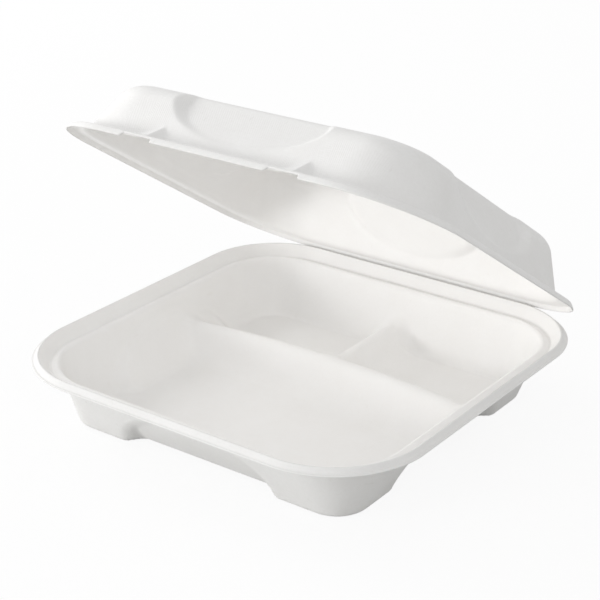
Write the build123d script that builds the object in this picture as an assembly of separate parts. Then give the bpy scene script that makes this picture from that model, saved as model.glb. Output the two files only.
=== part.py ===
from build123d import *
import os
from math import asin, cos, degrees, hypot, radians, sin, sqrt, tan

# Driving dimensions: millimetres, angles in degrees
wall = 0.9                      # moulded fibre sheet, the same all over
cut_overrun = 4.0               # how far cutting tools pass through a face
hollow_margin = 0.01            # keeps the hollow of a gusset off the face below it

# Outline of the brim, seen from above; the lid is hinged along the rear, +Y
brim_width = 229.0
brim_depth = 225.0
front_corner_radius = 51.0
rear_corner_radius = 47.0
base_height = 38.3              # foot plane to the top of the lip

# Rim section of the base, from the outer edge inwards
brim_flat = 1.3
band_run = 1.8
band_drop = 2.6
lip_width = 0.8
gutter_run = 5.0
gutter_drop = 6.3
gutter_width = 1.2
ridge_run = 0.8
ridge_rise = 0.5
ridge_width = 3.4

# Body of the base
base_draft = 22.0
rim_skirting = 3.0              # height of wall made together with the rim section
foot_corner_radius = 17.0
foot_bevel = 1.8                # where the walls meet the floor

# Dividers, made as raised folds of the floor
main_divider_height = 18.3
short_divider_height = 14.6
divider_y = 26.0
divider_bow_radius = 530.0
divider_slope = 35.0
divider_crest_radius = 6.0
crest_shares = (0, 0.25, 0.5, 0.75, 1)   # points round the crest, as shares of its turn
divider_flare = 5.0             # how far a divider spreads where it runs up to a wall
flare_sunk = 0.4                # how far the spread starts inside the divider

# Arched finger recesses in the middle of the sides: three on the base, four on the lid
arch_half_width = 46.0
arch_height = 26.0
arch_depth = 6.6
arch_flare = 8.0                # how far the arch narrows over its depth

# Lid
lid_height = 33.4               # skirt edge to the top
lid_draft = 24.0
lid_flange = 11.5               # brim edge to the foot of the lid's wall
lid_top_radius = 7.0
ease_shares = (0, 0.5, 1)       # rings that round the lid's top edge, as shares of its turn
closing_clearance = 0.35
lid_open_angle = 33.2

# Catches on the lid's front: a notch in the skirt under a hollow gusset
catch_offset = 43.0
notch_width = 18.0
gusset_height = 6.2
gusset_ramp = 15.0
gusset_return = 7.0
gusset_peak_offset = 4.0

# Heights and insets that follow from the sizes above
lip_z = base_height
brim_z = lip_z - band_drop
gutter_z = lip_z - gutter_drop
ridge_z = gutter_z + ridge_rise
base_cut_z = ridge_z - rim_skirting
lip_inset = brim_flat + band_run
gutter_inset = lip_inset + lip_width + gutter_run
ridge_inset = gutter_inset + gutter_width + ridge_run
wall_inset = ridge_inset + ridge_width
base_shift = wall / cos(radians(base_draft))
lid_shift = wall / cos(radians(lid_draft))
skirt_z = brim_z + closing_clearance
flange_z = lip_z + closing_clearance
lid_cut_z = flange_z + wall + rim_skirting
lid_top_z = skirt_z + lid_height
hinge_y = brim_depth / 2
hinge_z = (brim_z + skirt_z) / 2

# Sides as (turn, span), the rear first
sides = ((180, brim_depth), (0, brim_depth), (90, brim_width), (270, brim_width))


def rounded(inset, front_radius, rear_radius):
    """Rectangle inside the brim's edge, with its own radii at the front and rear corners."""
    shape = Rectangle(brim_width - 2 * inset, brim_depth - 2 * inset)
    shape = fillet(shape.vertices().group_by(Axis.Y)[0], front_radius)
    return fillet(shape.vertices().group_by(Axis.Y)[-1], rear_radius)


def outline(inset):
    """Rounded outline that lies a given distance inside the brim's edge."""
    return rounded(inset, front_corner_radius - inset, rear_corner_radius - inset)


def swept_rim(section_points):
    """Closed band whose section is given as (inset, height) points."""
    path = outline(0).face().outer_wire()
    start = path @ 0
    along = path % 0
    inward = Vector(0, 0, 1).cross(along)
    if inward.dot(start) > 0:
        inward = -inward
    station = Plane(origin=start, x_dir=inward, z_dir=inward.cross(Vector(0, 0, 1)))
    section = make_face(Polyline(*section_points, close=True))
    return sweep(station * section, path=path)


def moved_sideways(points, distance):
    """Polyline shifted to its left by a distance, with mitred corners."""
    vectors = [Vector(*point) for point in points]
    runs = [(end - begin).normalized() for begin, end in zip(vectors, vectors[1:])]
    normals = [Vector(-run.Y, run.X) for run in runs]
    before = [normals[0]] + normals
    after = normals + [normals[-1]]
    shifted = []
    for vector, first, second in zip(vectors, before, after):
        mitre = (first + second) * (distance / (1 + first.dot(second)))
        shifted.append((vector.X + mitre.X, vector.Y + mitre.Y))
    return shifted


def base_wall_inset(height):
    """Inset of the base wall's inner face at a height."""
    return wall_inset + (ridge_z - height) * tan(radians(base_draft))


def base_rim():
    top = [
        (0, brim_z),
        (brim_flat, brim_z),
        (lip_inset, lip_z),
        (lip_inset + lip_width, lip_z),
        (gutter_inset, gutter_z),
        (gutter_inset + gutter_width, gutter_z),
        (ridge_inset, ridge_z),
        (wall_inset, ridge_z),
        (base_wall_inset(base_cut_z), base_cut_z),
    ]
    under = moved_sideways(top, -wall)
    under[-1] = (top[-1][0] - base_shift, base_cut_z)
    return swept_rim(top + under[::-1])


def divider_section(height, grow):
    """Upright section of a divider with a round crest, grown inwards by the sheet."""
    radius = divider_crest_radius - grow
    centre = height - divider_crest_radius
    points = []
    for share in crest_shares:
        angle = radians(divider_slope + share * (180 - 2 * divider_slope))
        points.append((radius * cos(angle), centre + radius * sin(angle)))
    side, shoulder = points[0]
    foot = side + (shoulder + cut_overrun) * tan(radians(divider_slope))
    return make_face(Polyline((foot, -cut_overrun), *points, (-foot, -cut_overrun), close=True))


def bow_y(reach):
    """Where the main divider's middle line runs at a distance to the side."""
    return divider_y - divider_bow_radius + sqrt(divider_bow_radius ** 2 - reach ** 2)


def divider_end(turn, place_along, span, height, grow):
    """End of a divider that spreads at 45 degrees as it runs up to the wall at a turn."""
    lean = radians(base_draft)
    reach = span / 2 - base_wall_inset(0)
    outward = (0, -cos(lean), -sin(lean))
    rings = []
    for level in (-divider_flare - flare_sunk, cut_overrun):
        foot = (place_along(reach + level), -reach, 0)
        station = Plane(origin=foot, x_dir=(1, 0, 0), z_dir=outward).offset(level)
        rings.append(station * divider_section(height / cos(lean), grow - divider_flare - level))
    return Rot(0, 0, turn) * loft(rings, ruled=True)


def dividers(grow):
    axis = Axis((0, divider_y - divider_bow_radius, 0), (0, 0, 1))
    reach = degrees(asin(brim_width / 2 / divider_bow_radius))
    station = Plane(origin=(0, divider_y, 0), x_dir=(0, 1, 0), z_dir=(1, 0, 0))
    section = station * divider_section(main_divider_height, grow)
    main = revolve(section.rotate(axis, -reach), axis, 2 * reach)
    rear = Plane(origin=(0, brim_depth / 2, 0), x_dir=(1, 0, 0), z_dir=(0, -1, 0))
    short = extrude(rear * divider_section(short_divider_height, grow), brim_depth / 2 - divider_y)
    ends = [
        divider_end(90, bow_y, brim_width, main_divider_height, grow),
        divider_end(270, lambda reach: -bow_y(reach), brim_width, main_divider_height, grow),
        divider_end(180, lambda reach: 0, brim_depth, short_divider_height, grow),
    ]
    return main + short + ends


def arch_cutters(turns, inset, height, draft, upward, grow):
    """Cutters for walls given by turn and span, at an edge that has a given inset and height."""
    lean = radians(draft)
    outward = (0, -cos(lean), -upward * sin(lean))
    cutters = []
    for turn, span in turns:
        face = Plane(origin=(0, inset - span / 2, height), x_dir=(upward, 0, 0), z_dir=outward)
        cutters.append(Rot(0, 0, turn) * arch_cutter(face, grow))
    return cutters


def arch_cutter(plane, grow):
    """Arch on a wall face, deepest at the edge and running out to nothing at its crown."""
    flare_share = arch_flare / arch_depth
    rings = []
    for level in (cut_overrun, -2 * arch_depth):
        spread = grow + level * flare_share
        rings.append(plane.offset(level) * Ellipse(arch_half_width + spread, arch_height + spread))
    prism = loft(rings, ruled=True)
    side = Plane(origin=plane.origin, x_dir=plane.y_dir, z_dir=plane.x_dir)
    depth_past_edge = arch_depth * (1 + cut_overrun / arch_height)
    wedge = make_face(Polyline(
        (arch_height, 0),
        (arch_height, cut_overrun),
        (-cut_overrun, cut_overrun),
        (-cut_overrun, -depth_past_edge),
        close=True,
    ))
    return prism & extrude(side * wedge, arch_half_width + cut_overrun, both=True)


def tray_block(grow):
    """Space enclosed by the base's sheet: its inner face at 0, its outer face grown by the wall."""
    floor_z = wall - grow
    shift = grow / cos(radians(base_draft))
    foot_inset = base_wall_inset(floor_z) - shift
    foot_radius = foot_corner_radius - wall + grow
    mouth = Pos(0, 0, base_cut_z) * outline(base_wall_inset(base_cut_z) - shift)
    foot = Pos(0, 0, floor_z) * rounded(foot_inset, foot_radius, foot_radius)
    block = loft([foot, mouth], ruled=True)
    block = chamfer(block.edges().group_by(Axis.Z)[0], foot_bevel) - dividers(grow)
    for cutter in arch_cutters(sides[1:], foot_inset, floor_z, base_draft, 1, wall - grow):
        block -= cutter
    return block


def make_base():
    return tray_block(wall) - tray_block(0) + base_rim()


def lid_guide():
    """Underside of the lid's skirt and flange, clear of the base's rim by the closing clearance."""
    rim = [(brim_flat, brim_z), (lip_inset, lip_z), (lid_flange, lip_z)]
    corner = moved_sideways(rim, closing_clearance)[1]
    edge = (corner[0] - (corner[1] - skirt_z) * band_run / band_drop, skirt_z)
    rise = lid_cut_z - flange_z
    return [edge, corner, (lid_flange, flange_z), (lid_flange + rise * tan(radians(lid_draft)), lid_cut_z)]


def lid_outside():
    under = lid_guide()
    outer = moved_sideways(under, wall)
    outer[0] = (under[0][0] - wall * hypot(band_run, band_drop) / band_drop, skirt_z)
    outer[-1] = (under[-1][0] - lid_shift, lid_cut_z)
    return outer


def lid_top_edge(inset, top_z, radius):
    """Insets and heights of the rings that round the edge between the lid's wall and its top."""
    turn = 90 - lid_draft
    centre_inset = inset + radius * tan(radians(turn) / 2)
    points = []
    for share in ease_shares:
        angle = radians(lid_draft + share * turn)
        points.append((centre_inset - radius * cos(angle), top_z - radius + radius * sin(angle)))
    return points


def lid_block(grow):
    """Space enclosed by the lid's sheet: its inner face at 0, its outer face grown by the wall."""
    top_z = lid_top_z - wall + grow
    inset = lid_guide()[-1][0] - grow / cos(radians(lid_draft))
    mouth = Pos(0, 0, lid_cut_z) * outline(inset)
    top_inset = inset + (top_z - lid_cut_z) * tan(radians(lid_draft))
    rings = [mouth]
    for ring_inset, ring_z in lid_top_edge(top_inset, top_z, lid_top_radius + grow):
        rings.append(Pos(0, 0, ring_z) * outline(ring_inset))
    block = loft(rings, ruled=True)
    for cutter in arch_cutters(sides, top_inset, top_z, lid_draft, -1, wall - grow):
        block -= cutter
    return block


def gusset(catch_x):
    """Three-sided gusset that stands on the flange against the lid's front wall."""
    _, edge, foot, _ = lid_outside()
    sunk = wall / 2
    base_z = edge[1] - sunk
    peak_x = catch_x + gusset_peak_offset
    wall_y = foot[0] + sunk - brim_depth / 2
    ramp_end = Vector(peak_x - gusset_ramp, wall_y, base_z)
    return_end = Vector(peak_x + gusset_return, wall_y, base_z)
    toe = Vector(peak_x, edge[0] - brim_depth / 2, base_z)
    peak = Vector(peak_x, wall_y + gusset_height * tan(radians(lid_draft)), base_z + gusset_height)
    triangles = (
        (ramp_end, toe, return_end),
        (ramp_end, toe, peak),
        (toe, return_end, peak),
        (return_end, ramp_end, peak),
    )
    faces = [Face(Wire.make_polygon(points, close=True)) for points in triangles]
    return Solid(Shell(faces))


def notch(catch_x):
    """Gap in the front skirt under a gusset."""
    _, corner, _, _ = lid_guide()
    depth = corner[0] + 2 * cut_overrun
    height = corner[1] - skirt_z + cut_overrun
    y = corner[0] - brim_depth / 2
    return Pos(catch_x, y, corner[1]) * Box(
        notch_width, depth, height, align=(Align.CENTER, Align.MAX, Align.MAX)
    )


def make_lid():
    lid = lid_block(wall) - lid_block(0)
    lid += swept_rim(lid_guide() + lid_outside()[::-1])
    for catch_x in (-catch_offset, catch_offset):
        lid += gusset(catch_x)
    for catch_x in (-catch_offset, catch_offset):
        lid -= Pos(0, lid_shift, -wall - hollow_margin) * gusset(catch_x)
        lid -= notch(catch_x)
    return lid.rotate(Axis((0, hinge_y, hinge_z), (1, 0, 0)), -lid_open_angle)


def main():
    os.makedirs("parts", exist_ok=True)
    export_step(make_base(), "parts/base_tray.step")
    export_step(make_lid(), "parts/lid.step")


main()
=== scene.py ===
import math
import bpy
import numpy as np
from mathutils import Matrix, Vector, geometry


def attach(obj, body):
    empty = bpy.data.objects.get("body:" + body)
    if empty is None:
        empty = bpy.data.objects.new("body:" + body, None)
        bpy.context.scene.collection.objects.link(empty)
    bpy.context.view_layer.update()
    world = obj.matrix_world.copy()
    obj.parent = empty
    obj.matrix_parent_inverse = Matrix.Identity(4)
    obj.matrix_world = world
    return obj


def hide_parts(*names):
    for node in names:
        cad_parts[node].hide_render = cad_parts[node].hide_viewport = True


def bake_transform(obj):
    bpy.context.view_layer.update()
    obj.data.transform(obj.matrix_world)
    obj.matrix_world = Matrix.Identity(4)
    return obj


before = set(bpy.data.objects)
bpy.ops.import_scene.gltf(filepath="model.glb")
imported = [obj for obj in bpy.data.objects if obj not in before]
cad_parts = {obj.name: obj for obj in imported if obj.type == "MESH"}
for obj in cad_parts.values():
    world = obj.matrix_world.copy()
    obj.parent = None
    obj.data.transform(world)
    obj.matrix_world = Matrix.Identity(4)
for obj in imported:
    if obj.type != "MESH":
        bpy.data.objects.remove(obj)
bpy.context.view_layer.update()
print("frame loaded:", ", ".join(sorted(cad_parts)))

mm = 0.001  # lengths below are in millimetres unless they say metres

# the pressed sheet, and the outline that the tray and the lid share
sheetValues = {
    "thickness": 0.9,
    "brimWidth": 229.0,
    "brimDepth": 225.0,
    "frontCorner": 51.0,
    "rearCorner": 47.0,
    "cornerSteps": 30,
    "edgeSteps": 3,       # extra rings round the trimmed edge
    "edgeWander": 0.05,   # how far the trimmed edge strays
    "wanderSpan": 5,      # columns over which that is evened out, an odd number
    "seed": 11,
    "notchReach": 5.0,    # rings nearer to the edge than this follow its notches
    "rowSpare": 10.0,     # rows past the middle's ends, for the bow to draw in
    "middleClear": 0.6,   # share of a grid step between the rings and the middle's points
    "profileSpan": (-4.0, 40.0),   # insets that a rim's section is worked out for
    "profileSteps": 4400,
    "halvings": 30,       # steps towards a face's height
    "normalReach": 0.03,
}
halfWidth = sheetValues["brimWidth"] / 2
halfDepth = sheetValues["brimDepth"] / 2
thickness = sheetValues["thickness"]

# straight sides: plan coordinates (along the side, inwards from the brim), the rear first
wallSides = (
    lambda x, y: (-x, halfDepth - y),
    lambda x, y: (x, y + halfDepth),
    lambda x, y: (y, halfWidth - x),
    lambda x, y: (-y, x + halfWidth),
)


def roundedGap(x, y, halfX, halfY, radius):
    # how far a plan point lies inside a rounded rectangle
    across = np.abs(x) - halfX + radius
    along = np.abs(y) - halfY + radius
    beyond = np.hypot(np.maximum(across, 0), np.maximum(along, 0))
    return radius - beyond - np.minimum(np.maximum(across, along), 0)


def brimCorner(y):
    return np.where(y < 0, sheetValues["frontCorner"], sheetValues["rearCorner"])


def outlineInset(x, y):
    # how far a plan point lies inside the brim's edge
    return roundedGap(x, y, halfWidth, halfDepth, brimCorner(y))


def roundUnion(a, b, radius):
    # two bodies joined with a hollow fillet
    corner = np.hypot(np.maximum(radius - a, 0), np.maximum(radius - b, 0))
    return np.maximum(radius, np.minimum(a, b)) - corner


def roundCommon(a, b, radius):
    # what two bodies share, with its edge rounded over
    corner = np.hypot(np.maximum(radius + a, 0), np.maximum(radius + b, 0))
    return np.minimum(-radius, np.maximum(a, b)) + corner


def softProfile(points, reach):
    # height over inset through straight runs, with the corners eased
    inset = np.linspace(*sheetValues["profileSpan"], sheetValues["profileSteps"] + 1)
    xs, zs = np.array(points).T
    height = np.interp(inset, xs, zs)
    count = int(reach / (inset[1] - inset[0]))
    kernel = np.hanning(2 * count + 3)
    padded = np.pad(height, count + 1, mode="edge")
    eased = np.convolve(padded, kernel / kernel.sum(), mode="valid")
    return lambda d: np.interp(d, inset, eased)


def ellipseGap(x, y, halfLong, halfShort):
    # near enough the distance to an ellipse, below zero inside it
    near = np.hypot(x / halfLong, y / halfShort)
    slope = np.hypot(x / halfLong ** 2, y / halfShort ** 2)
    return near * (near - 1) / np.maximum(slope, 1e-9)


# arched recesses in the walls of the tray and the lid
archValues = {
    "halfWidth": 46.0,
    "height": 26.0,
    "depth": 6.6,
    "flare": 5.0,   # narrowing over the depth
    "cornerRound": 2.0,
}


def archBody(along, depthIn, upWall, grow):
    # arched recess against a wall: deepest at its edge, running out to nothing at the crown
    a = archValues
    slope = a["depth"] / a["height"]
    face = (depthIn - a["depth"] + slope * upWall) / math.hypot(1, slope)
    narrowing = grow - np.clip(depthIn, -a["depth"], 2 * a["depth"]) * a["flare"] / a["depth"]
    rim = ellipseGap(along, upWall, a["halfWidth"] + narrowing, a["height"] + narrowing)
    return roundCommon(face, rim, a["cornerRound"])


# tray: rim section from the outer edge inwards, then the drafted body and its dividers
trayValues = {
    "lipHeight": 38.3,
    "brimFlat": 1.3,
    "bandRun": 1.8,
    "bandDrop": 2.6,
    "lipWidth": 0.8,
    "gutterRun": 5.0,
    "gutterDrop": 6.3,
    "gutterWidth": 1.2,
    "ridgeRun": 0.8,
    "ridgeRise": 0.5,
    "ridgeWidth": 3.4,
    "ridgeCrown": 0.6,
    "rimEase": 0.45,
    "ridgeRound": 0.9,
    "draft": 22.0,
    "rimSkirting": 3.0,
    "footCorner": 17.0,
    "floorFillet": 1.8,
    "archBlend": 3.0,
    "mainHeight": 18.3,
    "shortHeight": 14.6,
    "dividerY": 26.0,
    "bowRadius": 530.0,
    "dividerSlope": 35.0,
    "crestRadius": 6.0,
    "dividerFillet": 6.0,
    "heightSpan": (-1.0, 42.0),   # where the face is looked for
    "ringDepths": ((0.45, 14.5, 36), (14.5, 23.0, 18), (23.0, 29.5, 18), (29.5, 37.0, 8)),
    "columnStep": 1.6,
    "gridStep": 1.5,
}


def trayRim():
    # corners of the rim's section, as insets and heights
    t = trayValues
    brim = t["lipHeight"] - t["bandDrop"]
    gutter = t["lipHeight"] - t["gutterDrop"]
    ridge = gutter + t["ridgeRise"]
    runs = ("brimFlat", "bandRun", "lipWidth", "gutterRun", "gutterWidth", "ridgeRun", "ridgeWidth")
    inset = np.concatenate(([0], np.cumsum([t[run] for run in runs])))
    heights = (brim, brim, t["lipHeight"], t["lipHeight"], gutter, gutter, ridge, ridge)
    points = list(zip(inset, heights))
    points.insert(-1, ((inset[-2] + inset[-1]) / 2, ridge + t["ridgeCrown"]))
    return points


trayRimPoints = trayRim()
trayWallInset, trayRidgeHeight = trayRimPoints[-1]
trayRimHeight = softProfile(trayRimPoints, trayValues["rimEase"])


def trayWall(x, y, z):
    # distance inwards of the drafted wall, whose corners tighten from the rim down to the foot
    t = trayValues
    lean = math.radians(t["draft"])
    cut = trayRidgeHeight - t["rimSkirting"]
    inset = trayWallInset + (trayRidgeHeight - z) * math.tan(lean)
    mouthRadius = brimCorner(y) - trayWallInset - t["rimSkirting"] * math.tan(lean)
    footRadius = t["footCorner"] - thickness
    share = np.clip((z - thickness) / (cut - thickness), 0, 1)
    radius = np.where(z < cut, footRadius + share * (mouthRadius - footRadius), brimCorner(y) - inset)
    return roundedGap(x, y, halfWidth - inset, halfDepth - inset, radius) * math.cos(lean)


def dividerBody(across, z, height):
    # upright section of a divider: round crest on two sloping flanks
    t = trayValues
    lean = math.radians(t["dividerSlope"])
    side = np.abs(across)
    up = z - height + t["crestRadius"]
    flank = side * math.cos(lean) + up * math.sin(lean)
    crest = np.hypot(side, up)
    return np.where(up * math.cos(lean) > side * math.sin(lean), crest, flank) - t["crestRadius"]


def trayField(x, y, z):
    # below zero inside the form that the tray's inner face is pressed on
    t = trayValues
    lean = math.radians(t["draft"])
    inset = outlineInset(x, y)
    foot = trayWallInset + (trayRidgeHeight - thickness) * math.tan(lean)
    body = roundUnion(z - thickness, trayWall(x, y, z), t["floorFillet"])
    for side in wallSides[1:]:
        along, inwards = side(x, y)
        depthIn = (inwards - foot) * math.cos(lean) + (z - thickness) * math.sin(lean)
        upWall = (z - thickness) * math.cos(lean) - (inwards - foot) * math.sin(lean)
        body = roundUnion(body, archBody(along, depthIn, upWall, thickness), t["archBlend"])
    bowed = np.hypot(x, y - t["dividerY"] + t["bowRadius"]) - t["bowRadius"]
    body = roundUnion(body, dividerBody(bowed, z, t["mainHeight"]), t["dividerFillet"])
    short = np.maximum(dividerBody(x, z, t["shortHeight"]), t["dividerY"] - y)
    body = roundUnion(body, short, t["dividerFillet"])
    return roundCommon(body, z - trayRimHeight(inset), t["ridgeRound"])


# lid, as it lies when closed: skirt, flange, drafted wall, top, arches and the two catches
lidValues = {
    "closingGap": 0.35,
    "height": 33.4,
    "flangeWidth": 11.5,
    "draft": 24.0,
    "topFillet": 7.9,
    "flangeFillet": 2.2,
    "rimEase": 1.2,
    "archEdge": 1.6,
    "openAngle": 33.2,
    "hingeY": 112.5,
    "hingeZ": 35.875,
    "catchOffset": 43.0,
    "notchWidth": 18.0,
    "notchInset": 1.95,
    "notchEase": 1.5,      # length over which a notch's end runs out
    "gussetHeight": 9.2,
    "gussetRamp": 15.0,
    "gussetReturn": 7.0,
    "gussetPeakOffset": 4.0,
    "gussetRound": 0.5,
    "gussetFillet": 0.9,
    "edgeInset": 0.5,
    "heightSpan": (30.0, 75.0),   # where the face is looked for
    "ringDepths": ((0.5, 10.5, 22), (10.5, 25.0, 30), (25.0, 40.0, 18)),
    "columnStep": 2.0,
    "catchStep": 0.5,
    "catchSpare": 2.5,     # the close columns reach this far past a gusset
    "gridStep": 2.6,
}


def lidRim():
    # outer face of the skirt and flange, which lie over the tray's band and lip
    t, v = trayValues, lidValues
    over = v["closingGap"] + thickness
    slant = math.hypot(t["bandRun"], t["bandDrop"])
    top = t["lipHeight"] + over
    skirt = t["lipHeight"] - t["bandDrop"] + v["closingGap"]
    flangeInset = t["brimFlat"] + t["bandRun"] - over * t["bandDrop"] / (slant + t["bandRun"])
    skirtInset = flangeInset - (top - skirt) * t["bandRun"] / t["bandDrop"]
    return (skirtInset, skirt), (flangeInset, top)


(lidSkirtInset, lidSkirtHeight), (lidFlangeInset, lidFlangeTop) = lidRim()
lidTop = lidSkirtHeight + lidValues["height"]
lidRimHeight = softProfile(
    [
        (2 * lidSkirtInset - lidFlangeInset, 2 * lidSkirtHeight - lidFlangeTop),
        (lidFlangeInset, lidFlangeTop),
        (lidValues["flangeWidth"], lidFlangeTop),
    ],
    lidValues["rimEase"],
)


def planeGap(x, y, z, first, second, third):
    # distance above a plane through three points
    normal = np.cross(np.subtract(second, first), np.subtract(third, first))
    normal = normal / np.linalg.norm(normal) * np.sign(normal[2])
    return (x - first[0]) * normal[0] + (y - first[1]) * normal[1] + (z - first[2]) * normal[2]


def gussetBody(x, y, z, catchX):
    # three-sided gusset that stands on the flange against the front wall
    v = lidValues
    lean = math.radians(v["draft"])
    baseZ = lidFlangeTop - thickness / 2
    peakX = catchX + v["gussetPeakOffset"]
    footInset = v["flangeWidth"] - thickness * (1 / math.cos(lean) - math.tan(lean))
    wallY = footInset + thickness / 2 - halfDepth
    toe = (peakX, lidFlangeInset - halfDepth, baseZ)
    peak = (peakX, wallY + v["gussetHeight"] * math.tan(lean), baseZ + v["gussetHeight"])
    ramp = planeGap(x, y, z, (peakX - v["gussetRamp"], wallY, baseZ), toe, peak)
    back = planeGap(x, y, z, toe, (peakX + v["gussetReturn"], wallY, baseZ), peak)
    return np.maximum(roundCommon(ramp, back, v["gussetRound"]), y - peak[1] - thickness)


def lidField(x, y, z):
    # below zero under the lid's outer face
    v = lidValues
    lean = math.radians(v["draft"])
    inset = outlineInset(x, y)
    wallFoot = v["flangeWidth"] - thickness / math.cos(lean)
    topInset = wallFoot + (lidTop - lidFlangeTop + thickness) * math.tan(lean)
    drop = z - lidTop
    wall = (topInset - inset) * math.cos(lean) + drop * math.sin(lean)
    body = roundCommon(wall, drop, v["topFillet"])
    for side in wallSides:
        along, inwards = side(x, y)
        depthIn = (inwards - topInset) * math.cos(lean) - drop * math.sin(lean)
        downWall = -drop * math.cos(lean) - (inwards - topInset) * math.sin(lean)
        body = roundCommon(body, -archBody(along, depthIn, downWall, 0), v["archEdge"])
    body = roundUnion(body, z - lidRimHeight(inset), v["flangeFillet"])
    for catchX in (-v["catchOffset"], v["catchOffset"]):
        body = roundUnion(body, gussetBody(x, y, z, catchX), v["gussetFillet"])
    return body


def faceHeights(field, x, y, span):
    # height at which each plan point meets the face
    below = np.full(x.shape, span[0])
    above = np.full(x.shape, span[1])
    for _ in range(sheetValues["halvings"]):
        middle = (below + above) / 2
        inside = field(x, y, middle) < 0
        below = np.where(inside, middle, below)
        above = np.where(inside, above, middle)
    return (below + above) / 2


def faceNormals(field, x, y, z):
    reach = sheetValues["normalReach"]
    slopes = [
        field(x + reach, y, z) - field(x - reach, y, z),
        field(x, y + reach, z) - field(x, y - reach, z),
        field(x, y, z + reach) - field(x, y, z - reach),
    ]
    normals = np.stack(slopes, axis=-1)
    return normals / np.linalg.norm(normals, axis=-1, keepdims=True)


def brimCorners():
    # centre, radius and first angle of each corner, anticlockwise from the front right
    front, rear = sheetValues["frontCorner"], sheetValues["rearCorner"]
    return (
        (halfWidth - front, front - halfDepth, front, -90),
        (halfWidth - rear, halfDepth - rear, rear, 0),
        (rear - halfWidth, halfDepth - rear, rear, 90),
        (front - halfWidth, front - halfDepth, front, 180),
    )


def planDirection(degrees):
    turn = math.radians(degrees)
    return np.array((math.cos(turn), math.sin(turn)))


def sideStations(length, step):
    return np.linspace(0, length, max(2, int(length / step)), endpoint=False)


def outlineColumns(step, frontStations=None):
    # points on the brim's edge and their inward directions, anticlockwise from the front's left end
    corners = brimCorners()
    cornerSteps = sheetValues["cornerSteps"]
    points, inwards = [], []
    for index, (cx, cy, radius, angle) in enumerate(corners):
        lastX, lastY, lastRadius, _ = corners[index - 1]
        outward = planDirection(angle)
        begin = np.array((lastX, lastY)) + lastRadius * outward
        end = np.array((cx, cy)) + radius * outward
        length = np.linalg.norm(end - begin)
        stations = sideStations(length, step)
        if index == 0 and frontStations is not None:
            stations = frontStations - begin[0]
        points.extend(begin + (end - begin) * station / length for station in stations)
        inwards.extend(-outward for _ in stations)
        for cornerStep in range(cornerSteps):
            outward = planDirection(angle + 90 * cornerStep / cornerSteps)
            points.append(np.array((cx, cy)) + radius * outward)
            inwards.append(-outward)
    return np.array(points), np.array(inwards)


def ringDepths(spans):
    parts = [np.linspace(begin, end, count, endpoint=False) for begin, end, count in spans]
    return np.append(np.concatenate(parts), spans[-1][1])


def ringPlan(columns, depths, starts):
    # plan points of the rings, where the outer ones follow a notched edge
    points, inwards = columns
    reach = sheetValues["notchReach"]
    share = (np.minimum(depths, reach)[:, None] - depths[0]) / (reach - depths[0])
    inset = starts + share * (reach - starts) + np.maximum(depths - reach, 0)[:, None]
    return points[None] + inwards[None] * inset[..., None]


def middlePoints(boundary, values):
    # rows of points inside the rings, bowed if the piece has a bowed divider
    step, spare = values["gridStep"], sheetValues["rowSpare"]
    reach = np.abs(boundary).max(axis=0)
    xs = np.arange(-reach[0], reach[0], step) + step / 2
    ys = np.arange(-reach[1] - spare, reach[1] + spare, step) + step / 2
    x, y = np.meshgrid(xs, ys)
    bow = values.get("bowRadius")
    if bow:
        y = y + (np.sqrt(bow ** 2 - x ** 2) - bow)
    limit = outlineInset(boundary[:, 0], boundary[:, 1]).min() + sheetValues["middleClear"] * step
    inside = outlineInset(x, y) > limit
    return np.stack((x[inside], y[inside]), axis=-1)


def meshMiddle(boundary, values):
    # points and triangles that fill the innermost ring, whose own points come first
    count = len(boundary)
    plan = np.concatenate((boundary, middlePoints(boundary, values)))
    loop = [(i, (i + 1) % count) for i in range(count)]
    # output type 1 keeps only what lies inside the loop
    result = geometry.delaunay_2d_cdt([Vector(p) for p in plan], loop, [], 1, 1e-6)
    points = np.array([tuple(p) for p in result[0]])
    tris = np.array(result[2])
    a, b, c = (points[tris[:, k]] for k in range(3))
    flipped = np.cross(b - a, c - a) < 0
    tris[flipped] = tris[flipped][:, ::-1]
    return points, tris


def ringQuads(index):
    turned = np.roll(index, -1, axis=1)
    return np.stack((index[:-1], turned[:-1], turned[1:], index[1:]), axis=-1).reshape(-1, 4)


def edgeStray(count):
    # how far the trimmed edge strays at each column
    span = sheetValues["wanderSpan"]
    wander = np.random.default_rng(sheetValues["seed"]).normal(0, sheetValues["edgeWander"], count)
    wander = np.pad(wander, span // 2, mode="wrap")
    return np.abs(np.convolve(wander, np.ones(span) / span, mode="valid"))


def trimmedEdge(top, under, count):
    # rings of points that round the edge from the upper face to the lower one
    steps = sheetValues["edgeSteps"]
    outward = top[:count] - top[count:2 * count]
    outward = outward / np.linalg.norm(outward, axis=1, keepdims=True)
    centre = (top[:count] + under[:count]) / 2
    arm = top[:count] - centre
    radius = thickness / 2 - edgeStray(count)
    rings = []
    for step in range(1, steps + 1):
        turn = math.pi * step / (steps + 1)
        reach = radius * math.sin(turn)
        rings.append(centre + arm * math.cos(turn) + outward * reach[:, None])
    return rings


def edgeQuads(total, count):
    # faces round the edge, whose own points come after those of the two faces
    starts = [2 * total + k * count for k in range(sheetValues["edgeSteps"])]
    rings = [start + np.arange(count) for start in (0, *starts, total)]
    bands = []
    for upper, lower in zip(rings, rings[1:]):
        bands.append(np.stack((upper, lower, np.roll(lower, -1), np.roll(upper, -1)), axis=-1))
    return np.concatenate(bands)


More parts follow.
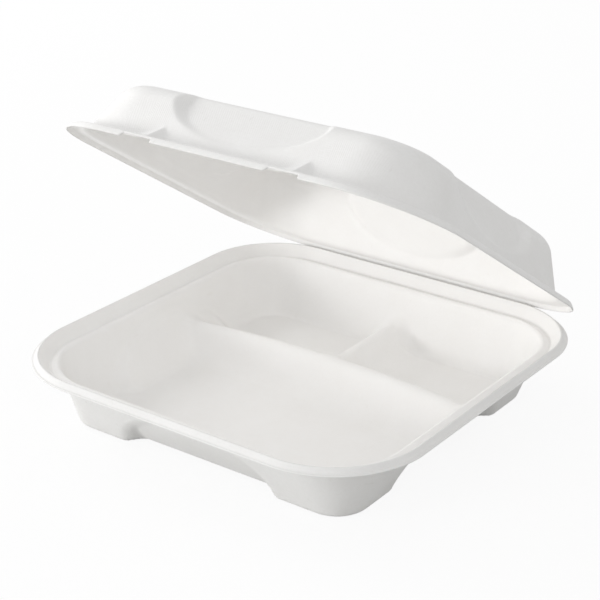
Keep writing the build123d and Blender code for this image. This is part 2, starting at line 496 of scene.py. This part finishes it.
def linkPiece(name, vertices, faces, slots):
    # smooth mesh object, with a material slot for each face
    mesh = bpy.data.meshes.new(name)
    mesh.from_pydata(vertices, [], faces)
    mesh.polygons.foreach_set("use_smooth", np.ones(len(faces), dtype=bool))
    mesh.polygons.foreach_set("material_index", slots.astype(np.int32))
    mesh.update()
    piece = bpy.data.objects.new(name, mesh)
    bpy.context.scene.collection.objects.link(piece)
    print(name, "made:", len(vertices), "points,", len(faces), "faces")
    return piece


def screenCoordinates(mesh, top, index, tris, edgeCount):
    # flat coordinates in metres for the mark of the drying screen: along the edge, and down the section
    rings, count = index.shape
    ringTop = top[index]
    down = np.linalg.norm(np.diff(ringTop, axis=0), axis=2)
    down = np.concatenate((np.zeros((1, count)), np.cumsum(down, axis=0)))
    lap = np.linalg.norm(np.roll(ringTop[0], -1, axis=0) - ringTop[0], axis=1)
    around = np.concatenate(([0], np.cumsum(lap)))
    nextDown = np.roll(down, -1, axis=1)
    left = np.broadcast_to(around[:-1], (rings - 1, count))
    right = np.broadcast_to(around[1:], (rings - 1, count))
    u = np.stack((left, right, right, left), axis=-1).reshape(-1, 4)
    v = np.stack((down[:-1], nextDown[:-1], nextDown[1:], down[1:]), axis=-1).reshape(-1, 4)
    quadCoords = np.stack((u, v), axis=-1)
    triCoords = top[tris][..., :2]
    edgeCoords = np.zeros((edgeCount * 4, 2))
    parts = (quadCoords, triCoords, quadCoords[:, ::-1], triCoords[:, ::-1])
    flat = np.concatenate([part.reshape(-1, 2) for part in parts] + [edgeCoords]) * mm
    layer = mesh.uv_layers.new(name="screen")
    layer.data.foreach_set("uv", flat.astype(np.float32).ravel())


def sheetPiece(name, field, values, columns, starts, place):
    # a pressed sheet: outer rings and a meshed middle, both faces, with a rounded trimmed edge
    rings = ringPlan(columns, ringDepths(values["ringDepths"]), starts)
    ringCount, count = rings.shape[:2]
    middle, tris = meshMiddle(rings[-1], values)
    x, y = np.concatenate((rings[:-1].reshape(-1, 2), middle)).T
    z = faceHeights(field, x, y, values["heightSpan"])
    top = np.stack((x, y, z), axis=-1)
    under = top - thickness * faceNormals(field, x, y, z)

    total = len(top)
    index = np.arange(ringCount * count).reshape(ringCount, count)
    quads = ringQuads(index)
    tris = tris + index[-1, 0]
    edge = edgeQuads(total, count)
    groups = (quads, tris, quads[:, ::-1] + total, tris[:, ::-1] + total, edge)
    faces = [face for group in groups for face in group.tolist()]
    slots = np.repeat((0, 0, 1, 1, 2), [len(group) for group in groups])   # upper face, lower face, edge

    vertices = np.concatenate([top, under] + trimmedEdge(top, under, count)) * mm
    vertices = vertices @ np.array(place.to_3x3()).T + np.array(place.translation)
    piece = linkPiece(name, vertices.tolist(), faces, slots)
    screenCoordinates(piece.data, top, index, tris, len(edge))
    return piece


def makeTray():
    t = trayValues
    columns = outlineColumns(t["columnStep"])
    starts = np.full(len(columns[0]), t["ringDepths"][0][0])
    return sheetPiece("pressed_tray", trayField, t, columns, starts, Matrix.Identity(4))


def catchStations():
    # front columns, close together where the catches are
    v = lidValues
    end = halfWidth - sheetValues["frontCorner"]
    reach = v["gussetRamp"] - v["gussetPeakOffset"] + v["catchSpare"]
    stations = [-end]
    while stations[-1] < end - v["catchStep"]:
        here = stations[-1]
        near = abs(abs(here) - v["catchOffset"]) < reach
        stations.append(here + (v["catchStep"] if near else v["columnStep"]))
    return np.array(stations[:-1])


def lidStarts(columns):
    # inset of the trimmed edge: the skirt is cut away at the two notches in the front
    v = lidValues
    x, y = columns[0].T
    fromNotch = np.abs(np.abs(x) - v["catchOffset"]) - v["notchWidth"] / 2
    share = np.clip(0.5 - fromNotch / v["notchEase"], 0, 1)
    share = share * share * (3 - 2 * share) * (y < 0)
    return v["edgeInset"] + share * (v["notchInset"] - v["edgeInset"])


def makeLid():
    v = lidValues
    columns = outlineColumns(v["columnStep"], catchStations())
    hinge = Vector((0, v["hingeY"], v["hingeZ"])) * mm
    turn = Matrix.Rotation(math.radians(-v["openAngle"]), 4, "X")
    place = Matrix.Translation(hinge) @ turn @ Matrix.Translation(-hinge)
    return sheetPiece("pressed_lid", lidField, v, columns, lidStarts(columns), place)


# crease: the sheet where it folds from the tray's brim up into the lid's skirt
creaseValues = {
    "halfLength": 74.0,
    "thickness": 0.62,
    "inBrim": 2.0,     # how far inside the hinge line it begins
    "brimGrip": 0.5,   # how far inside the hinge line the bend begins
    "skirtIn": 0.6,    # where the bend ends, in from the skirt's edge and up
    "skirtUp": 0.2,
    "skirtRun": 1.2,   # how far it runs on up the skirt
    "bulge": 0.42,
    "bead": 2.4,       # the sheet thickens on the inside of the fold
    "alongSteps": 90,
    "bendSteps": 10,
}


def creaseLine():
    # middle line of the fold in section, and the two points between which it bends
    c, v, t = creaseValues, lidValues, trayValues
    brimZ = t["lipHeight"] - t["bandDrop"] - thickness / 2
    inBrim = np.array((v["hingeY"] - c["inBrim"], brimZ))
    brimEnd = np.array((v["hingeY"] - c["brimGrip"], brimZ))
    turn = math.radians(v["openAngle"])
    # end of the bend from the hinge with the lid closed, then turned to the open lid
    skirtY = -(lidSkirtInset + c["skirtIn"])
    skirtZ = lidSkirtHeight - v["hingeZ"] + c["skirtUp"]
    skirtEnd = np.array((
        v["hingeY"] + skirtY * math.cos(turn) + skirtZ * math.sin(turn),
        v["hingeZ"] - skirtY * math.sin(turn) + skirtZ * math.cos(turn),
    ))
    skirtLean = math.atan2(lidFlangeInset - lidSkirtInset, lidFlangeTop - lidSkirtHeight)
    lean = math.pi / 2 + skirtLean - turn
    upSkirt = np.array((math.cos(lean), math.sin(lean))) * c["skirtRun"]
    knee = np.array((v["hingeY"] + c["bulge"], (brimEnd[1] + skirtEnd[1]) / 2))
    line = [inBrim, (inBrim + brimEnd) / 2]
    for step in range(c["bendSteps"] + 1):
        s = step / c["bendSteps"]
        line.append(brimEnd * (1 - s) ** 2 + knee * 2 * s * (1 - s) + skirtEnd * s ** 2)
    line += [skirtEnd + upSkirt / 2, skirtEnd + upSkirt]
    return np.array(line), brimEnd, skirtEnd


def creaseSection(line):
    # closed outline round the line, the outer side first
    c = creaseValues
    tangent = np.gradient(line, axis=0)
    tangent /= np.linalg.norm(tangent, axis=1, keepdims=True)
    across = np.stack((tangent[:, 1], -tangent[:, 0]), axis=-1)
    swell = np.sin(np.linspace(0, math.pi, len(line)))[:, None] ** 2
    outer = line + across * c["thickness"] / 2
    inner = line - across * (c["thickness"] / 2 + c["bead"] * swell)
    return np.concatenate((outer, inner[::-1]))


def makeCrease():
    c = creaseValues
    line, brimEnd, skirtEnd = creaseLine()
    section = creaseSection(line)
    n = len(section)
    xs = np.linspace(-c["halfLength"], c["halfLength"], c["alongSteps"])
    vertices = [(x * mm, y * mm, z * mm) for x in xs for y, z in section]
    faces = []
    for i in range(len(xs) - 1):
        for k in range(n):
            m = (k + 1) % n
            faces.append((i * n + k, i * n + m, (i + 1) * n + m, (i + 1) * n + k))
    faces.append(tuple(range(n))[::-1])
    faces.append(tuple((len(xs) - 1) * n + k for k in range(n)))
    inside = np.tile(np.arange(n) >= len(line), len(xs) - 1)
    piece = linkPiece("rear_crease", vertices, faces, np.append(inside, (False, False)))
    start = (0, brimEnd[0] * mm, brimEnd[1] * mm)
    end = (0, skirtEnd[0] * mm, skirtEnd[1] * mm)
    return piece, start, end


def newGroup(name, inputs, outputs):
    group = bpy.data.node_groups.new(name, "ShaderNodeTree")
    for label, kind, value in inputs:
        socket = group.interface.new_socket(label, in_out="INPUT", socket_type=kind)
        socket.default_value = value
    for label, kind in outputs:
        group.interface.new_socket(label, in_out="OUTPUT", socket_type=kind)
    return group, group.nodes.new("NodeGroupInput"), group.nodes.new("NodeGroupOutput")


def addNoise(tree, vector, scale, detail, roughness=0.5):
    node = tree.nodes.new("ShaderNodeTexNoise")
    node.inputs["Scale"].default_value = scale
    node.inputs["Detail"].default_value = detail
    node.inputs["Roughness"].default_value = roughness
    tree.links.new(vector, node.inputs["Vector"])
    return node.outputs["Fac"]


def addMath(tree, operation, first, second):
    node = tree.nodes.new("ShaderNodeMath")
    node.operation = operation
    for socket, value in zip(node.inputs, (first, second)):
        if isinstance(value, (int, float)):
            socket.default_value = value
        else:
            tree.links.new(value, socket)
    return node.outputs[0]


def addRange(tree, value, fromSpan, toSpan):
    node = tree.nodes.new("ShaderNodeMapRange")
    for label, number in zip(("From Min", "From Max", "To Min", "To Max"), (*fromSpan, *toSpan)):
        node.inputs[label].default_value = number
    tree.links.new(value, node.inputs["Value"])
    return node.outputs["Result"]


# matted plant fibre, with noise scales per metre
fibreValues = {
    "cloudScale": 38,
    "cloudDetail": 3,
    "cloudShare": 0.45,
    "grainScale": 620,
    "grainDetail": 4,
    "grainRoughness": 0.6,
    "grainShare": 0.3,
    "grainHeight": 0.6,
    "fibreScale": 1500,
    "fibreDetail": 2,
    "fibreRoughness": 0.55,
    "fibreStretch": (1, 0.28, 0.6),
    "fibreTurn": (0.5, 0.3, 0.9),   # radians
    "fibreHeight": 0.4,
    "fleckScale": 420,
    "fleckDetail": 1,
    "fleckSpan": (0.73, 0.8),
    "fleckShare": 0.5,
    "noiseSpan": (0.3, 0.7),   # the part of a noise's range that counts
    "roughness": (0.62, 0.78),
}


def pulpFibreGroup():
    # cloudy thickness, short fibres and rare darker flecks
    f = fibreValues
    group, given, out = newGroup(
        "pulpFibre",
        [
            ("Vector", "NodeSocketVector", (0, 0, 0)),
            ("Pale", "NodeSocketColor", (0.8, 0.8, 0.78, 1)),
            ("Deep", "NodeSocketColor", (0.7, 0.69, 0.66, 1)),
        ],
        [("Color", "NodeSocketColor"), ("Roughness", "NodeSocketFloat"), ("Height", "NodeSocketFloat")],
    )
    vector = given.outputs["Vector"]
    stretch = group.nodes.new("ShaderNodeMapping")
    stretch.inputs["Scale"].default_value = f["fibreStretch"]
    stretch.inputs["Rotation"].default_value = f["fibreTurn"]
    group.links.new(vector, stretch.inputs["Vector"])
    stretched = stretch.outputs["Vector"]
    cloud = addNoise(group, vector, f["cloudScale"], f["cloudDetail"])
    grain = addNoise(group, vector, f["grainScale"], f["grainDetail"], f["grainRoughness"])
    fibre = addNoise(group, stretched, f["fibreScale"], f["fibreDetail"], f["fibreRoughness"])
    fleck = addNoise(group, stretched, f["fleckScale"], f["fleckDetail"])
    cloudTone = addRange(group, cloud, f["noiseSpan"], (0, f["cloudShare"]))
    grainTone = addRange(group, grain, f["noiseSpan"], (0, f["grainShare"]))
    fleckTone = addRange(group, fleck, f["fleckSpan"], (0, f["fleckShare"]))
    tone = addMath(group, "ADD", addMath(group, "ADD", cloudTone, grainTone), fleckTone)
    mix = group.nodes.new("ShaderNodeMix")
    mix.data_type = "RGBA"
    group.links.new(tone, mix.inputs["Factor"])
    group.links.new(given.outputs["Pale"], mix.inputs["A"])
    group.links.new(given.outputs["Deep"], mix.inputs["B"])
    grainUp = addMath(group, "MULTIPLY", grain, f["grainHeight"])
    fibreUp = addMath(group, "MULTIPLY", fibre, f["fibreHeight"])
    group.links.new(mix.outputs["Result"], out.inputs["Color"])
    group.links.new(addRange(group, grain, f["noiseSpan"], f["roughness"]), out.inputs["Roughness"])
    group.links.new(addMath(group, "ADD", grainUp, fibreUp), out.inputs["Height"])
    return group


def screenMarkGroup():
    # dimples that the drying screen leaves, evenly spaced
    group, given, out = newGroup(
        "screenMark",
        [("Pitch", "NodeSocketFloat", 0.0011)],
        [("Height", "NodeSocketFloat")],
    )
    coords = group.nodes.new("ShaderNodeUVMap")
    coords.uv_map = "screen"
    parts = group.nodes.new("ShaderNodeSeparateXYZ")
    group.links.new(coords.outputs["UV"], parts.inputs["Vector"])
    turns = addMath(group, "DIVIDE", 2 * math.pi, given.outputs["Pitch"])
    waves = [
        addMath(group, "SINE", addMath(group, "MULTIPLY", parts.outputs[axis], turns), 0)
        for axis in ("X", "Y")
    ]
    dimples = addRange(group, addMath(group, "MULTIPLY", *waves), (-1, 1), (0, 1))
    group.links.new(dimples, out.inputs["Height"])
    return group


# finishes: the smooth food side, the screen side and the trimmed edge, all of one pulp; the food side's
# paler colour is painted light, and the screen side's darker colour is painted shade
finishValues = {
    "inside": {
        # food side: pulp colour lifted as painted light for the shaded hollows of the tray and the lid
        "pale": (0.953, 0.946, 0.935, 1),
        "deep": (0.918, 0.905, 0.887, 1),
        "bump": 0.16,
        "screen": 0.12,
    },
    "outside": {
        # screen side: pulp colour darkened as painted shade of the screen's dimples
        "pale": (0.838, 0.834, 0.826, 1),
        "deep": (0.778, 0.770, 0.755, 1),
        "bump": 0.28,
        "screen": 1.0,
    },
    "edge": {
        "pale": (0.82, 0.817, 0.808, 1),
        "deep": (0.765, 0.757, 0.742, 1),
        "bump": 0.35,
        "screen": 0.0,
    },
    "bumpReach": 0.0002,      # metres
    "screenPitch": 0.00115,   # metres
    "sheen": 0.12,
    "specular": 0.3,
}


def pulpMaterial(name, values, fibreGroup, screenGroup):
    material = bpy.data.materials.new(name)
    material.use_nodes = True
    tree = material.node_tree
    shader = tree.nodes["Principled BSDF"]
    coords = tree.nodes.new("ShaderNodeTexCoord")
    fibre = tree.nodes.new("ShaderNodeGroup")
    fibre.node_tree = fibreGroup
    fibre.inputs["Pale"].default_value = values["pale"]
    fibre.inputs["Deep"].default_value = values["deep"]
    tree.links.new(coords.outputs["Object"], fibre.inputs["Vector"])
    height = fibre.outputs["Height"]
    if values["screen"] > 0:
        screen = tree.nodes.new("ShaderNodeGroup")
        screen.node_tree = screenGroup
        screen.inputs["Pitch"].default_value = finishValues["screenPitch"]
        marks = addMath(tree, "MULTIPLY", screen.outputs["Height"], values["screen"])
        height = addMath(tree, "ADD", height, marks)
    bump = tree.nodes.new("ShaderNodeBump")
    bump.inputs["Strength"].default_value = values["bump"]
    bump.inputs["Distance"].default_value = finishValues["bumpReach"]
    tree.links.new(height, bump.inputs["Height"])
    tree.links.new(fibre.outputs["Color"], shader.inputs["Base Color"])
    tree.links.new(fibre.outputs["Roughness"], shader.inputs["Roughness"])
    tree.links.new(bump.outputs["Normal"], shader.inputs["Normal"])
    shader.inputs["Sheen Weight"].default_value = finishValues["sheen"]
    shader.inputs["Specular IOR Level"].default_value = finishValues["specular"]
    return material


# finish of each material slot: upper face, lower face, trimmed edge
traySides = ("inside", "outside", "edge")
lidSides = ("outside", "inside", "edge")
creaseSides = ("outside", "inside")   # outer and inner side of the fold


def dressPiece(piece, sides):
    for side in sides:
        piece.data.materials.append(finishes[side])


def finishRim(piece):
    # the outer band of the tray's rim takes the trimmed edge's darker colour, in place of the food
    # side's paler colour, which is painted light
    polygons = piece.data.polygons
    centres = np.empty(3 * len(polygons), dtype=np.float32)
    polygons.foreach_get("center", centres)
    x, y, _ = centres.reshape(-1, 3).T / mm
    slots = np.empty(len(polygons), dtype=np.int32)
    polygons.foreach_get("material_index", slots)
    band = trayValues["brimFlat"] + trayValues["bandRun"] + trayValues["lipWidth"]
    upper = slots == traySides.index("inside")
    slots[upper & (outlineInset(x, y) < band)] = traySides.index("edge")
    polygons.foreach_set("material_index", slots)


fibreGroup, screenGroup = pulpFibreGroup(), screenMarkGroup()
finishes = {
    side: pulpMaterial("pulp_" + side, finishValues[side], fibreGroup, screenGroup)
    for side in ("inside", "outside", "edge")
}
print("finishes made:", ", ".join(finishes))

trayPiece = makeTray()
dressPiece(trayPiece, traySides)
finishRim(trayPiece)
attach(trayPiece, "base")
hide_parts("base_tray")

lidPiece = makeLid()
dressPiece(lidPiece, lidSides)
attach(lidPiece, "lid")
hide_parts("lid")

creasePiece, creaseStart, creaseEnd = makeCrease()
dressPiece(creasePiece, creaseSides)
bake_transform(creasePiece)

# studio: white floor, soft sky and three softboxes, in metres and watts
studioValues = {
    "floorSize": 6.0,
    "floorBounce": (0.68, 0.68, 0.67, 1),   # colour of the light that it throws back
    "floorSeen": (0.95, 0.95, 0.95, 1),     # colour that takes the shadow
    "shadowShare": 0.1,                     # how much of that shows in the white
    "skyLight": 0.71,
    "lampAim": (0.0, 0.0, 0.06),
    "softboxes": {
        "front_left_softbox": {"place": (-1.2, -1.7, 0.3), "size": 0.58, "power": 16.5},
        "left_softbox": {"place": (-2.0, 0.2, 1.0), "size": 1.4, "power": 16.5},
        "front_right_softbox": {"place": (1.3, -1.5, 1.2), "size": 1.2, "power": 5.0},
    },
}


def mixSeen(tree, lighting, seen, output):
    # one shader for what the camera, gloss and glass see, the other for all other light
    path = tree.nodes.new("ShaderNodeLightPath")
    shown = addMath(tree, "MAXIMUM", path.outputs["Is Camera Ray"], path.outputs["Is Glossy Ray"])
    shown = addMath(tree, "MAXIMUM", shown, path.outputs["Is Transmission Ray"])
    mix = tree.nodes.new("ShaderNodeMixShader")
    tree.links.new(shown, mix.inputs["Fac"])
    tree.links.new(lighting.outputs[0], mix.inputs[1])
    tree.links.new(seen.outputs[0], mix.inputs[2])
    tree.links.new(mix.outputs[0], tree.nodes[output].inputs["Surface"])


def floorMaterial():
    s = studioValues
    material = bpy.data.materials.new("studio_floor")
    material.use_nodes = True
    tree = material.node_tree
    bounce = tree.nodes["Principled BSDF"]
    bounce.inputs["Base Color"].default_value = s["floorBounce"]
    bounce.inputs["Roughness"].default_value = 1.0
    bounce.inputs["Specular IOR Level"].default_value = 0.0
    shaded = tree.nodes.new("ShaderNodeBsdfDiffuse")
    shaded.inputs["Color"].default_value = s["floorSeen"]
    white = tree.nodes.new("ShaderNodeEmission")
    toCamera = tree.nodes.new("ShaderNodeMixShader")
    toCamera.inputs["Fac"].default_value = s["shadowShare"]
    tree.links.new(white.outputs[0], toCamera.inputs[1])
    tree.links.new(shaded.outputs[0], toCamera.inputs[2])
    mixSeen(tree, bounce, toCamera, "Material Output")
    return material


def makeFloor():
    half = studioValues["floorSize"] / 2
    corners = [(-half, -half, 0), (half, -half, 0), (half, half, 0), (-half, half, 0)]
    mesh = bpy.data.meshes.new("studio_floor")
    mesh.from_pydata(corners, [], [(0, 1, 2, 3)])
    mesh.materials.append(floorMaterial())
    floor = bpy.data.objects.new("studio_floor", mesh)
    bpy.context.scene.collection.objects.link(floor)


def makeSky():
    world = bpy.data.worlds.new("studio_sky")
    bpy.context.scene.world = world
    world.use_nodes = True
    tree = world.node_tree
    light = tree.nodes["Background"]
    light.inputs["Color"].default_value = (1, 1, 1, 1)
    light.inputs["Strength"].default_value = studioValues["skyLight"]
    shownWhite = tree.nodes.new("ShaderNodeBackground")
    shownWhite.inputs["Color"].default_value = (1, 1, 1, 1)
    mixSeen(tree, light, shownWhite, "World Output")


def makeSoftbox(name, values):
    lamp = bpy.data.lights.new(name, "AREA")
    lamp.shape = "SQUARE"
    lamp.size = values["size"]
    lamp.energy = values["power"]
    holder = bpy.data.objects.new(name, lamp)
    holder.location = values["place"]
    aim = Vector(studioValues["lampAim"]) - Vector(values["place"])
    holder.rotation_mode = "QUATERNION"
    holder.rotation_quaternion = aim.to_track_quat("-Z", "Y")
    bpy.context.scene.collection.objects.link(holder)


# camera: where the picture was taken from, in metres and degrees
cameraValues = {
    "place": (0.4564, -0.6232, 0.3990),
    "azimuth": 36.28,
    "elevation": 23.65,
    "lens": 98.26,    # millimetres, as the sensor
    "sensor": 36.0,
    "farClip": 50.0,
}


def makeCamera():
    c = cameraValues
    camera = bpy.data.cameras.new("photo_camera")
    camera.lens = c["lens"]
    camera.sensor_width = c["sensor"]
    camera.clip_end = c["farClip"]
    holder = bpy.data.objects.new("photo_camera", camera)
    holder.location = c["place"]
    holder.rotation_euler = (math.radians(90 - c["elevation"]), 0, math.radians(c["azimuth"]))
    bpy.context.scene.collection.objects.link(holder)
    bpy.context.scene.camera = holder


makeFloor()
makeSky()
for softboxName, softboxValues in studioValues["softboxes"].items():
    makeSoftbox(softboxName, softboxValues)
makeCamera()
bpy.context.scene.view_settings.view_transform = "Standard"
print("studio and camera made")
